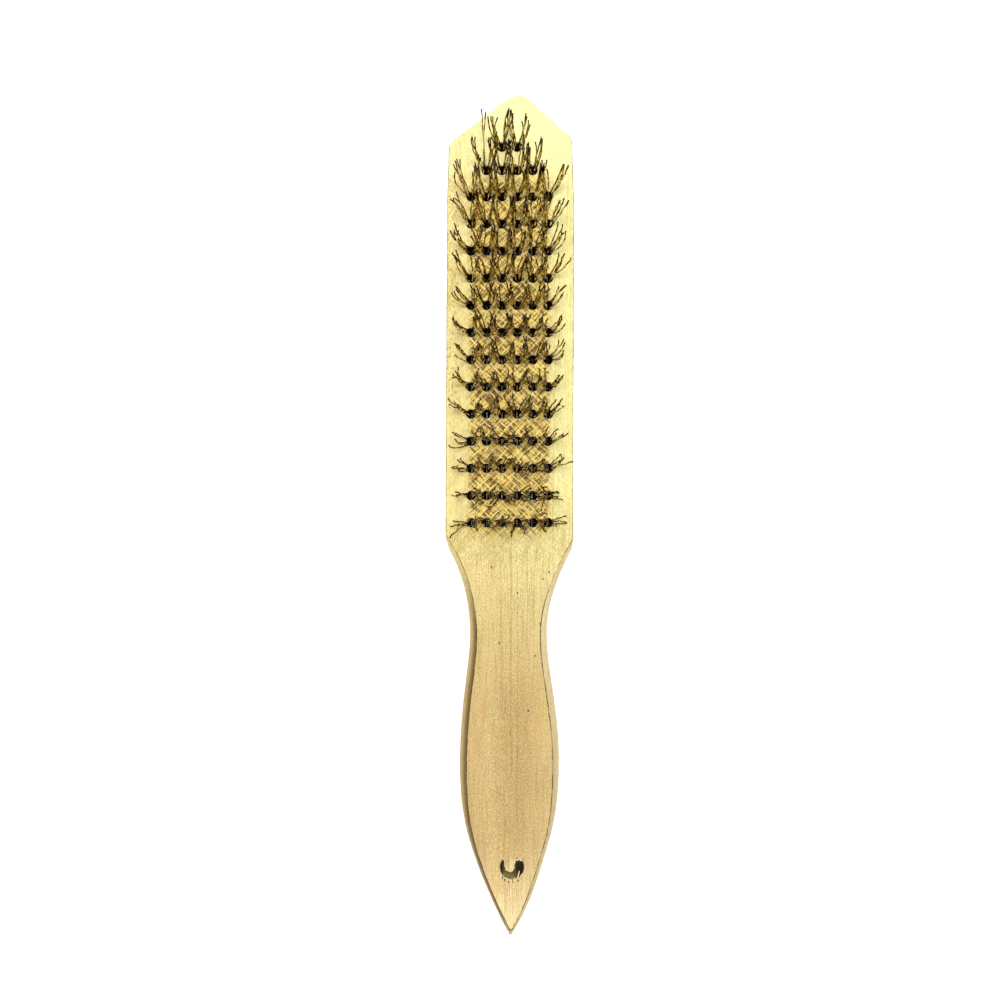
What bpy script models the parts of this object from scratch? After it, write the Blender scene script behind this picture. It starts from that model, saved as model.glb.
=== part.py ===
"""A hand wire brush: a one-piece wooden block with 84 tufts of wire set in blind holes.

The brush lies on its back. +Z is the way the wires point, +X runs from the tail of the handle to the
nose of the head, and the origin is on the plane it lies on, under the middle of the brush.
Lengths are written in millimetres and scaled to metres by MM.
"""

import math

import bmesh
import bpy
import numpy as np
from mathutils import Matrix
from mathutils.geometry import interpolate_bezier

MM = 0.001
BRUSH = "wire_brush"

# The block
LENGTH = 290.0
HEAD_WIDTH = 43.7
THICKNESS = 17.5
NOSE_X = LENGTH / 2
TAIL_X = -LENGTH / 2
SIDE_Y = HEAD_WIDTH / 2
CROWN = 2.7  # how far a handle side swells at mid-thickness past its arrises
TAIL_HALF_WIDTH = 0.5  # the blunt end of the tail, at mid-thickness
CROWN_LEVELS = 9
OUTLINE_STEPS = 7  # straight pieces in each Bezier stretch of an outline
OVERSHOOT = 5.0  # how far a cutter runs past the block

# The nose is sawn to a blunt point that leans to -Y, as (x, y) from the +Y side to the -Y side
NOSE_CORNERS = (
    (127.0, SIDE_Y),
    (128.4, 20.6),
    (143.8, 0.2),
    (NOSE_X, -3.8),
    (144.1, -6.0),
    (132.8, -19.0),
    (130.4, -20.8),
    (127.5, -SIDE_Y),
)

# Half width of the handle at mid-thickness, as the knots of a smooth line: x, half width, the length of
# its curve handles towards the nose and towards the tail, slope
HANDLE_KNOTS = (
    (2.0, 30.6, 0.0, 9.4, 0.87),
    (-40.5, 13.55, 18.0, 12.0, 0.0),
    (-86.0, 17.4, 19.0, 12.5, 0.0),
    (-114.5, 13.7, 8.5, 2.0, 0.36),
    (TAIL_X, TAIL_HALF_WIDTH, 7.0, 0.0, 1.1),
)
# Height of the block's back above the plane it lies on, in the same form
BACK_KNOTS = (
    (2.0, 0.0, 0.0, 12.0, 0.0),
    (-43.0, 1.0, 14.0, 14.0, 0.0),
    (-86.0, 0.5, 14.0, 12.0, 0.0),
    (-122.0, 1.6, 10.0, 8.0, -0.08),
    (TAIL_X, 4.2, 8.0, 0.0, -0.16),
)

# The hanging hole
HANGING_HOLE_X = -120.2
HANGING_HOLE_Y = -0.8
HANGING_HOLE_RADIUS = 4.2
HANGING_HOLE_SIDES = 20

# The tufts: 15 rows of up to 6, from the nose (row 1) to the shoulder (row 15)
ROWS = 15
COLUMNS = 6
LAST_ROW_X = -1.4
ROW_PITCH = 9.32
SECOND_ROW_STEP = 9.0  # row 3 to row 2
FIRST_ROW_STEP = 8.0  # row 2 to row 1
COLUMN_PITCH = 5.28
COLUMNS_IN_ROW = {1: (3, 4), 2: (2, 3, 4, 5)}
JOINED_COLUMNS = ((2, 3), (4, 5))  # neighbours whose wires mat together at their ends
TUFT_HOLE_RADIUS = 1.6
TUFT_HOLE_DEPTH = 11.0
TUFT_SIDES = 8
ROOT_RADIUS = 1.15
TIP_RADIUS = 3.1
TIP_STRETCH = 1.2  # the fan is wider along the brush than across it
WIRE_LENGTH = 25.0  # free length above the block's face
SPLAY = 1.22  # spread of the tips across the brush, against that of the holes
MATTING = 0.35  # how far joined tufts lean to each other
GAP = 0.3
WELD = 0.01


def start_empty():
    for old in list(bpy.data.objects):
        bpy.data.objects.remove(old, do_unlink=True)


def collection(name):
    made = bpy.data.collections.new(name)
    bpy.context.scene.collection.children.link(made)
    return made


def material(name, colour, roughness, metallic):
    made = bpy.data.materials.new(name)
    made.use_nodes = True
    shader = made.node_tree.nodes["Principled BSDF"]
    shader.inputs["Base Color"].default_value = (*colour, 1.0)
    shader.inputs["Roughness"].default_value = roughness
    shader.inputs["Metallic"].default_value = metallic
    return made


def wood_material():
    return material("beech_wood", (0.74, 0.55, 0.27), 0.72, 0.0)


def wire_material():
    return material("brassed_wire", (0.56, 0.43, 0.2), 0.34, 1.0)


def object_from(bm, name, group, look=None):
    """A scene object from a mesh in millimetres, which is closed here."""
    bmesh.ops.recalc_face_normals(bm, faces=bm.faces)
    bmesh.ops.scale(bm, vec=(MM, MM, MM), verts=bm.verts)
    mesh = bpy.data.meshes.new(name)
    bm.to_mesh(mesh)
    bm.free()
    made = bpy.data.objects.new(name, mesh)
    group.objects.link(made)
    if look is not None:
        mesh.materials.append(look)
    return made


def hidden_cutter(made):
    made.hide_render = True
    made.display_type = "WIRE"
    return made


def cutter_from(bm, name, group):
    return hidden_cutter(object_from(bm, name, group))


def boolean(target, operation, cutter):
    step = target.modifiers.new(cutter.name, "BOOLEAN")
    step.operation = operation
    step.solver = "EXACT"
    step.object = cutter


def smooth_line(knots):
    """Points of a smooth line through knots, from the tail to the nose."""
    points = []
    for (x0, v0, _, back, slope0), (x1, v1, forward, _, slope1) in zip(knots, knots[1:]):
        stretch = interpolate_bezier(
            (x0, v0),
            (x0 - back, v0 - slope0 * back),
            (x1 + forward, v1 + slope1 * forward),
            (x1, v1),
            OUTLINE_STEPS + 1,
        )
        points += stretch if not points else stretch[1:]
    return np.array([tuple(point) for point in points])[::-1]


def handle_stations(outline, crown_here):
    """The x values of one level of the handle, from the shoulder to where its two sides meet."""
    shrink_end = TAIL_HALF_WIDTH + crown_here
    palm = int(np.argmin(np.abs(outline[:, 0] - HANDLE_KNOTS[2][0])))
    tail = np.interp(shrink_end, outline[: palm + 1, 1], outline[: palm + 1, 0])
    start = HANDLE_KNOTS[0][0]
    reach = (outline[::-1, 0] - start) / (TAIL_X - start)
    return start + reach * (tail - start)


def handle_loft():
    """Stacked outlines of the handle, narrowest at its front and back, run on past the nose."""
    outline = smooth_line(HANDLE_KNOTS)
    back = smooth_line(BACK_KNOTS)
    bm = bmesh.new()
    levels = []
    for height in np.linspace(-1.0, 1.0, CROWN_LEVELS):
        crown_here = CROWN * height**2
        left, right = [], []
        for x in (NOSE_X + OVERSHOOT, *handle_stations(outline, crown_here)):
            half = np.interp(x, outline[:, 0], outline[:, 1]) - crown_here
            low = np.interp(x, back[:, 0], back[:, 1])
            z = low + (height + 1) / 2 * (THICKNESS - low)
            left.append(bm.verts.new((x, half, z)))
            right.append(bm.verts.new((x, -half, z)))
        levels.append((left, right))
    for (left0, right0), (left1, right1) in zip(levels, levels[1:]):
        ring0 = left0 + right0[::-1]
        ring1 = left1 + right1[::-1]
        for i in range(len(ring0)):
            j = (i + 1) % len(ring0)
            bm.faces.new((ring0[i], ring0[j], ring1[j], ring1[i]))
    for left, right in (levels[0], levels[-1]):
        for i in range(len(left) - 1):
            bm.faces.new((left[i], left[i + 1], right[i + 1], right[i]))
    return bm


def plank_outline(cutters):
    """The head's sawn outline, run on past the tail, as a prism taller than the block."""
    tail = TAIL_X - OVERSHOOT
    corners = ((tail, SIDE_Y), *NOSE_CORNERS, (tail, -SIDE_Y))
    drawing = bpy.data.curves.new("plank_outline", "CURVE")
    drawing.dimensions = "2D"
    drawing.fill_mode = "BOTH"
    drawing.extrude = (THICKNESS / 2 + OVERSHOOT) * MM
    line = drawing.splines.new("POLY")
    line.points.add(len(corners) - 1)
    line.use_cyclic_u = True
    for point, (x, y) in zip(line.points, corners):
        point.co = (x * MM, y * MM, 0.0, 1.0)
    drawn = bpy.data.objects.new("plank_drawing", drawing)
    drawn.location.z = THICKNESS / 2 * MM
    cutters.objects.link(drawn)
    return closed_mesh_cutter(drawn, "plank_outline", cutters)


def closed_mesh_cutter(drawn, name, cutters):
    """A curve object as a cutter, with its caps welded on, in the curve's place."""
    bpy.context.view_layer.update()
    ready = drawn.evaluated_get(bpy.context.evaluated_depsgraph_get())
    mesh = bpy.data.meshes.new_from_object(ready)
    bm = bmesh.new()
    bm.from_mesh(mesh)
    bmesh.ops.remove_doubles(bm, verts=bm.verts, dist=WELD * MM)
    bmesh.ops.recalc_face_normals(bm, faces=bm.faces)
    bm.to_mesh(mesh)
    bm.free()
    made = bpy.data.objects.new(name, mesh)
    made.matrix_world = drawn.matrix_world
    cutters.objects.link(made)
    bpy.data.objects.remove(drawn, do_unlink=True)
    return hidden_cutter(made)


def row_x(row):
    if row >= 3:
        return LAST_ROW_X + (ROWS - row) * ROW_PITCH
    return row_x(3) + SECOND_ROW_STEP + (FIRST_ROW_STEP if row == 1 else 0.0)


def column_y(column):
    return ((COLUMNS + 1) / 2 - column) * COLUMN_PITCH


def columns_in(row):
    return COLUMNS_IN_ROW.get(row, tuple(range(1, COLUMNS + 1)))


def upright_prism(bm, x, y, low, high, radius, sides):
    middle = Matrix.Translation((x, y, (low + high) / 2))
    bmesh.ops.create_cone(
        bm,
        cap_ends=True,
        segments=sides,
        radius1=radius,
        radius2=radius,
        depth=high - low,
        matrix=middle,
    )


def tuft_holes():
    bm = bmesh.new()
    floor = THICKNESS - TUFT_HOLE_DEPTH
    for row in range(1, ROWS + 1):
        for column in columns_in(row):
            x, y = row_x(row), column_y(column)
            upright_prism(bm, x, y, floor, THICKNESS + OVERSHOOT, TUFT_HOLE_RADIUS, TUFT_SIDES)
    return bm


def hanging_hole():
    bm = bmesh.new()
    low, high = -OVERSHOOT, THICKNESS + OVERSHOOT
    x, y = HANGING_HOLE_X, HANGING_HOLE_Y
    upright_prism(bm, x, y, low, high, HANGING_HOLE_RADIUS, HANGING_HOLE_SIDES)
    return bm


def make_block(group, cutters, look):
    block = object_from(handle_loft(), "handle_block", group, look)
    boolean(block, "INTERSECT", plank_outline(cutters))
    boolean(block, "DIFFERENCE", cutter_from(tuft_holes(), "tuft_holes", cutters))
    boolean(block, "DIFFERENCE", cutter_from(hanging_hole(), "hanging_hole", cutters))
    return block


def tip_y(column, lean):
    """Where a tuft's tip ends up across the brush, leaning by lean towards +Y."""
    return column_y(column) * SPLAY + lean


def tuft(row, column, lean=0.0):
    """A bundle of wires as one solid: a straight root in its hole, then a fan to the tips."""
    x, y = row_x(row), column_y(column)
    bm = bmesh.new()
    bmesh.ops.create_cone(
        bm,
        cap_ends=True,
        segments=TUFT_SIDES,
        radius1=ROOT_RADIUS,
        radius2=TIP_RADIUS,
        depth=WIRE_LENGTH,
        matrix=Matrix.Translation((x, y, THICKNESS + WIRE_LENGTH / 2)),
    )
    for vert in bm.verts:
        if vert.co.z > THICKNESS + WIRE_LENGTH / 2:
            vert.co.x = x + (vert.co.x - x) * TIP_STRETCH
            vert.co.y += tip_y(column, lean) - y
    base = min(bm.faces, key=lambda face: face.calc_center_median().z)
    root = bmesh.ops.extrude_discrete_faces(bm, faces=[base])["faces"][0]
    bmesh.ops.translate(bm, vec=(0, 0, GAP - TUFT_HOLE_DEPTH), verts=root.verts)
    return bm


def round_off(made):
    """Smooth shading round a tuft, with its end faces kept crisp."""
    made.data.shade_smooth()
    made.data.set_sharp_from_angle(angle=math.radians(50))


def make_tufts(group, cutters, look):
    """One object for each tuft, and one for each pair of tufts whose wires mat together."""
    made = []
    for row in range(1, ROWS + 1):
        left = list(columns_in(row))
        if len(left) == COLUMNS:
            for near, far in JOINED_COLUMNS:
                left.remove(near)
                left.remove(far)
                name = f"tufts_row{row:02d}_col{near}_{far}"
                pair = object_from(tuft(row, near, -MATTING), name, group, look)
                other = cutter_from(tuft(row, far, MATTING), f"{name}_other", cutters)
                boolean(pair, "UNION", other)
                made.append(pair)
        for column in left:
            name = f"tuft_row{row:02d}_col{column}"
            made.append(object_from(tuft(row, column), name, group, look))
    for each in made:
        round_off(each)
    return made


def build():
    start_empty()
    parts = collection(BRUSH)
    cutters = collection("cutters")
    centre = bpy.data.objects.new("brush_frame", None)
    parts.objects.link(centre)
    block = make_block(parts, cutters, wood_material())
    tufts = make_tufts(parts, cutters, wire_material())
    for piece in (block, *tufts):
        piece.parent = centre


build()
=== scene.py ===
"""The looks of a hand wire brush: a bare beech block and 84 tufts of folded, brassed steel wire.

Lengths are in millimetres and are scaled to metres by MM when a mesh is made. The brush lies on its back:
+Z is the way the wires point, +X runs from the tail of the handle to the nose of the head, and left and
right are as seen from the wires with the nose up, so left is +Y.
"""

import functools
import math
import random

import bmesh
import bpy
import numpy as np
from mathutils import Matrix, Vector, noise
from mathutils.geometry import interpolate_bezier


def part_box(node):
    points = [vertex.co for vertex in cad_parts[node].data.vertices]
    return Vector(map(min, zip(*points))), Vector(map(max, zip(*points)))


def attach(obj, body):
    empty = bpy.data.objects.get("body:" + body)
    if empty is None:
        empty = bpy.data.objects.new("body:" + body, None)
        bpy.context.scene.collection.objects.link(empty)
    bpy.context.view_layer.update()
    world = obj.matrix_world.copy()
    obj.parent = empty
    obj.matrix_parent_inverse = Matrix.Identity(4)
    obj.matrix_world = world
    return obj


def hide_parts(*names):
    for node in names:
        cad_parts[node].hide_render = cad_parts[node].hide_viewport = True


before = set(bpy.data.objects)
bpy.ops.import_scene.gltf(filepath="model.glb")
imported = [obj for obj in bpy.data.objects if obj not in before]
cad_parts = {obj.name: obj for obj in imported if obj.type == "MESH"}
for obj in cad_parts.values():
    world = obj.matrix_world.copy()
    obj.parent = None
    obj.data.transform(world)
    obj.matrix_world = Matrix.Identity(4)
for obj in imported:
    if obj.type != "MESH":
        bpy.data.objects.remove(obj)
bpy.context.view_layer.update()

MM = 0.001
SEED = 290

# The block, from its CAD box
BLOCK_LOW, BLOCK_HIGH = (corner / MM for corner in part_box("handle_block"))
TAIL_X, NOSE_X = BLOCK_LOW.x, BLOCK_HIGH.x
SIDE_Y = BLOCK_HIGH.y
FACE_Z = BLOCK_HIGH.z
CROWN = 2.7  # how far the handle's sides bulge
TAIL_HALF_WIDTH = 0.3
LEAST_HALF_WIDTH = 0.25
OFF_CENTRE_FROM = 100.0  # past this x a side may cross the middle, as the nose's point is off centre
OFF_CENTRE = 5.0
ARRIS = 0.35  # radius of the worn edges
ARRIS_STEPS = 5

# The block's cross sections: their ends and spacing along x, and the steps round each one
SECTIONS_INSET = 0.05
BODY_SECTIONS_TO = 126.0
NOSE_SECTIONS_FROM = 126.2
BODY_SPACING = 0.8
NOSE_SPACING = 0.4
FRONT_STEPS = 50
BACK_STEPS = 32
SIDE_STEPS = 20

# The head's two sides, seen from the wires: x, y from the shoulder to the point of the nose
HEAD_LEFT = (
    (-9.0, 21.3), (-6.0, 22.0), (40.0, 21.9), (92.0, 21.4),
    (109.0, 21.3), (121.0, 20.9), (127.9, 20.8), (130.7, 17.9),
    (143.4, 1.5), (144.4, -0.8), (NOSE_X, -3.2),
)
HEAD_RIGHT = (
    (-9.0, -SIDE_Y), (40.0, -SIDE_Y), (75.0, -22.1), (109.0, -22.1),
    (121.0, -21.6), (129.4, -21.3), (130.9, -20.7), (133.1, -18.1),
    (143.4, -6.9), (144.3, -5.8), (NOSE_X, -3.3),
)
# The handle's half width: x, value, reach of the curve towards the nose, towards the tail, slope
HANDLE_KNOTS = (
    (2.0, 30.6, 0.0, 9.4, 0.87),
    (-40.5, 13.45, 18.0, 12.0, 0.0),
    (-86.0, 17.4, 19.0, 12.5, 0.0),
    (-114.5, 13.6, 8.5, 7.0, 0.31),
    (TAIL_X, TAIL_HALF_WIDTH, 9.0, 0.0, 0.7),
)
# How far the handle's middle wanders to one side: x, y
HANDLE_WANDER = (
    (TAIL_X, -0.35), (-140.0, -0.45), (-134.0, -0.6), (-127.0, -0.25),
    (-115.0, 0.0), (-75.0, 0.05), (-62.0, 0.2), (-50.0, 0.4),
    (-36.0, 0.35), (-22.0, -0.2), (-12.0, -0.45), (0.0, -0.3),
)
# The height of the back, in the same form as the handle's half width
BACK_KNOTS = (
    (2.0, 0.0, 0.0, 12.0, 0.0),
    (-43.0, 1.0, 14.0, 14.0, 0.0),
    (-86.0, 0.5, 14.0, 12.0, 0.0),
    (-122.0, 1.6, 10.0, 8.0, -0.08),
    (TAIL_X, 4.2, 8.0, 0.0, -0.16),
)

# Roughness of the surface: depth, length and width of its bumps, seed
SAW_CHATTER = (0.07, 2.6, 9.0, 3.1)
SIDE_WANDER = (0.16, 23.0, 14.0, 7.7)
SPLINTERS = (0.12, 0.9, 3.5, 2.9)
SPLINTERS_FROM = 128.0
ARRIS_WEAR = (0.45, 5.0, 1.0, 1.3)
FINE_RIPPLE = (0.05, 7.0, 5.0, 5.5)
BROAD_RIPPLE = (0.09, 40.0, 18.0, 1.0)
FACE_SINK = 0.05

HANGING_HOLE = (-119.7, -0.85)
HANGING_HOLE_RADIUS = 4.15

# Torn wood at the mouth of the hanging hole. The flap's ragged end: y, x
FLAP_END = (
    (-4.5, -117.45), (-3.2, -117.2), (-2.3, -117.4), (-1.8, -118.4),
    (-1.5, -119.8), (-0.9, -120.9), (-0.1, -121.35), (0.6, -121.2),
    (1.2, -120.5), (1.65, -119.2), (1.95, -117.3), (2.2, -115.9),
)
FLAP_ROOT_X = -114.4
FIBRE_PITCH = 0.42
FIBRE_VOXEL = 0.09
# Single fibres: root x and y, tip x and y, width
FIBRES = (
    (-124.6, -2.4, -120.8, -3.35, 0.6),
    (-124.2, 2.75, -122.0, 2.55, 0.5),
    (-124.9, 1.55, -123.0, 1.75, 0.5),
    (-125.0, -1.7, -123.0, -1.55, 0.5),
    (-123.6, -4.0, -121.9, -4.1, 0.5),
)
# Splits along the grain round the hole and nicks in the arrises: x, y, length, width, depth
SPLITS = (
    (-116.6, -2.4, 2.0, 0.6, 1.1),
    (-117.0, -4.6, 1.8, 0.6, 1.0),
    (-122.9, 2.45, 2.0, 0.7, 1.1),
    (-123.8, 1.7, 1.9, 0.6, 1.0),
    (-124.2, -1.0, 1.8, 0.55, 1.0),
    (-124.0, -2.9, 2.0, 0.6, 1.0),
    (-124.6, 0.35, 1.6, 0.55, 0.9),
    (107.0, 21.6, 5.0, 1.0, 0.5),
    (91.5, 21.6, 4.0, 0.9, 0.45),
    (74.8, 21.8, 3.5, 1.0, 0.5),
    (29.0, -22.0, 4.5, 0.8, 0.4),
    (127.0, -21.5, 3.0, 0.9, 0.5),
    (134.2, 13.6, 1.8, 0.8, 0.4),
    (140.6, 5.4, 1.6, 0.7, 0.4),
)

# Pin knots on the front of the handle: x, y, stretch along the grain
PIN_KNOTS = (
    (-16.5, 6.2, 1.0), (-18.3, -13.5, 1.2), (-20.7, -11.4, 1.0), (-25.4, -2.6, 1.1),
    (-36.2, -10.6, 2.2), (-42.6, 3.5, 1.5), (-47.0, -8.8, 1.1), (-65.9, -6.4, 1.4),
)
PIN_KNOT_RADIUS = 0.36
# Nicks in the sides: x, z, stretch along the grain
LEFT_NICKS = ((117.0, 8.4, 1.8), (106.7, 6.2, 1.5), (16.0, 13.4, 3.0), (8.9, 11.8, 3.4), (-3.4, 11.6, 2.6))
RIGHT_NICKS = ((126.5, 2.5, 1.0), (121.0, 12.6, 2.6), (118.0, 8.3, 0.7), (100.2, 8.6, 0.8), (-60.0, 8.8, 0.8))
NICK_RADIUS = 0.5
# A scratch across the right side of the neck
SCRATCH_X, SCRATCH_Z = -24.2, 5.4
SCRATCH_REACH = 3.9
SCRATCH_SLOPE = 0.75

# The tufts
HOLE_RADIUS = 1.6
HOLE_DEPTH = 11.0
WIRE_RADIUS = 0.235
WIRES_PER_TUFT = 5
WIRE_SIDES = 6
WIRE_STEPS = 26  # straight pieces in the free length of one leg
BURIED_STEPS = 3
FREE_LENGTH = 25.0
LENGTH_SPREAD = (-0.6, 0.25)
FOLD_Z = FACE_Z - HOLE_DEPTH + 0.7
FOLD_DROP = 0.42
ANCHOR = (2.9, 0.3, 2.6)  # width along the brush, thickness, height
ANCHOR_LIFT = 0.1
ANCHOR_EDGE = 0.06

# Where a leg can cross the mouth of its hole, on the +Y side of the anchor: distances from its middle
SLOTS = (
    *((x, 0.42) for x in (-1.06, -0.53, 0.0, 0.53, 1.06)),
    *((x, 0.93) for x in (-0.78, -0.26, 0.26, 0.78)),
)
SLOT_SPREAD = 0.02

# Ranges of a leg's shape: how soon it leans, the crimp's pitch and height, its bow, its hooked tip
LEAN_POWER = (1.15, 2.1)
CRIMP_PITCH = (6.0, 11.0)
CRIMP_HEIGHT = (0.05, 0.15)
BOW = 1.0
HOOK = 1.2

# How far a row's wires lean towards the nose on average, where they lean
LEAN_X = {1: -1.3, 2: -0.9, 3: 1.0, 10: 0.4, 11: 0.6, 13: 0.8}
LEAN_X_SPREAD = 0.95
LEAN_X_RANGE = (-3.2, 2.8)
# How far they lean away from their own tuft's middle: by side for an outermost leg, on average for the others
OUTERMOST_Y = 12.0
OUTER_REACH = {1: (2.3, 4.7), -1: (1.0, 3.4)}
INNER_REACH = 2.0
INNER_REACH_SPREAD = 0.6
INNER_REACH_RANGE = (-0.4, 3.6)
SHARED_SPREAD = (0.7, 0.45)  # what the legs on one side of a tuft share, along x and y

# Wires that were knocked out of line: (row, column, side) to (lean along x, lean along y) for its first wires
STRAYS = {
    (2, 2, 1): ((9.4, 0.7), (9.7, -1.3)),
    (15, 1, 1): ((-4.1, 5.2),),
    (14, 3, 1): ((-4.6, 3.0),),
    (14, 6, 1): ((-5.0, 2.4),),
    (11, 1, 1): ((0.8, 6.0), (0.2, 5.2)),
    (12, 1, 1): ((-2.6, 5.6),),
    (8, 1, 1): ((-1.5, 4.8),),
    (3, 6, -1): ((2.4, -4.4), (1.6, -3.6)),
    (6, 6, -1): ((0.6, -5.2),),
    (13, 6, -1): ((0.9, -5.0),),
}

# The wood's colours, as display values from 0 to 255
WOOD_LEVELS = {
    "light": (206, 180, 124), "dark": (187, 158, 100), "blotch": (172, 140, 84),
    # Next three lines: the head, nose and tail colours are lighter in part as painted light, the palm and
    # neck colours darker as painted shade
    "head_left": (245, 232, 158), "head_right": (244, 238, 166), "nose": (242, 238, 170),
    "tail": (252, 228, 172), "orange_patch": (218, 176, 108), "green_patch": (206, 196, 108),
    "palm": (182, 152, 100), "neck": (182, 150, 92), "sawn_side": (186, 142, 72),
    "mottle": (176, 146, 84), "grain": (160, 128, 70), "fine_grain": (156, 122, 66),
    "growth_line": (148, 114, 62), "speck": (140, 108, 54), "pale_speck": (250, 234, 184),
    # Next line: the pale side colour is painted light on the handle's right side, the dark edge colour is
    # painted shade beside the handle's front arrises
    "ray": (132, 104, 52), "side_light": (255, 242, 196), "side_shade": (92, 68, 18),
    # Next line: painted shade of the wires between the tufts, its lit gaps and the brass-coloured reflection
    # in it
    "wire_shade_dark": (98, 62, 0), "wire_shade_light": (250, 216, 114), "wire_shade_olive": (150, 122, 24),
    # Next line: painted shadow strokes of the wires, painted light in the lattice between them, and a fainter
    # painted shadow hatch
    "stroke": (84, 50, 0), "lattice": (255, 232, 146), "hatch": (170, 126, 60),
    "edge_dot": (170, 124, 62), "stipple": (150, 108, 48), "smudge": (140, 100, 52),
    # Next line, last colour: a dark arris line, dirt and, along the head's right edge, painted shadow
    "knot": (74, 48, 20), "drilled_rim": (255, 242, 200), "arris_dirt_and_shade": (84, 62, 22),
    # Next line and the rim colour after it: painted shade in the holes, and a painted lit patch on the bore's
    # wall
    "hole_shade": (38, 20, 12), "bore_shade": (70, 42, 12), "bore_lit_wall": (192, 172, 92),
    "sunk_rim_shade": (70, 48, 18), "fibre": (176, 150, 62),
}

# The camera, straight above the brush
CAMERA_PLACE = (6.4, 3.3, FACE_Z + 291.6)
CAMERA_LENS = 30.64
SENSOR_WIDTH = 36.0
CLIP_START_M = 0.01

# The studio, in metres and watts: the lamps' places, sides and power, and what they face
LAMPS = {
    "overhead": ((0.05, 0.0, 0.62), 0.09, 2.2),
    "nose_right": ((0.24, -0.15, 0.52), 0.016, 0.42),
    "nose_left": ((0.24, 0.13, 0.52), 0.016, 0.28),
    "tail_right": ((0.0, -0.15, 0.50), 0.016, 0.14),
    "tail_left": ((0.01, 0.13, 0.50), 0.016, 0.12),
}
LAMPS_FACE = (0.04, 0.0, 0.01)
FLOOR_SIDE_M = 6.0
# The studio's walls are brighter than its ceiling: heights on a unit sphere, and brightness
HORIZON_TOP = 0.34
CEILING_START = 0.77
HORIZON_LIGHT = 0.88
CEILING_LIGHT = 0.35


def srgb(red, green, blue):
    """A colour given as 0 to 255 display values, as linear light."""
    return tuple(((c / 255 + 0.055) / 1.055) ** 2.4 for c in (red, green, blue))


WOOD = {name: srgb(*levels) for name, levels in WOOD_LEVELS.items()}

# ---- materials


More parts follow.
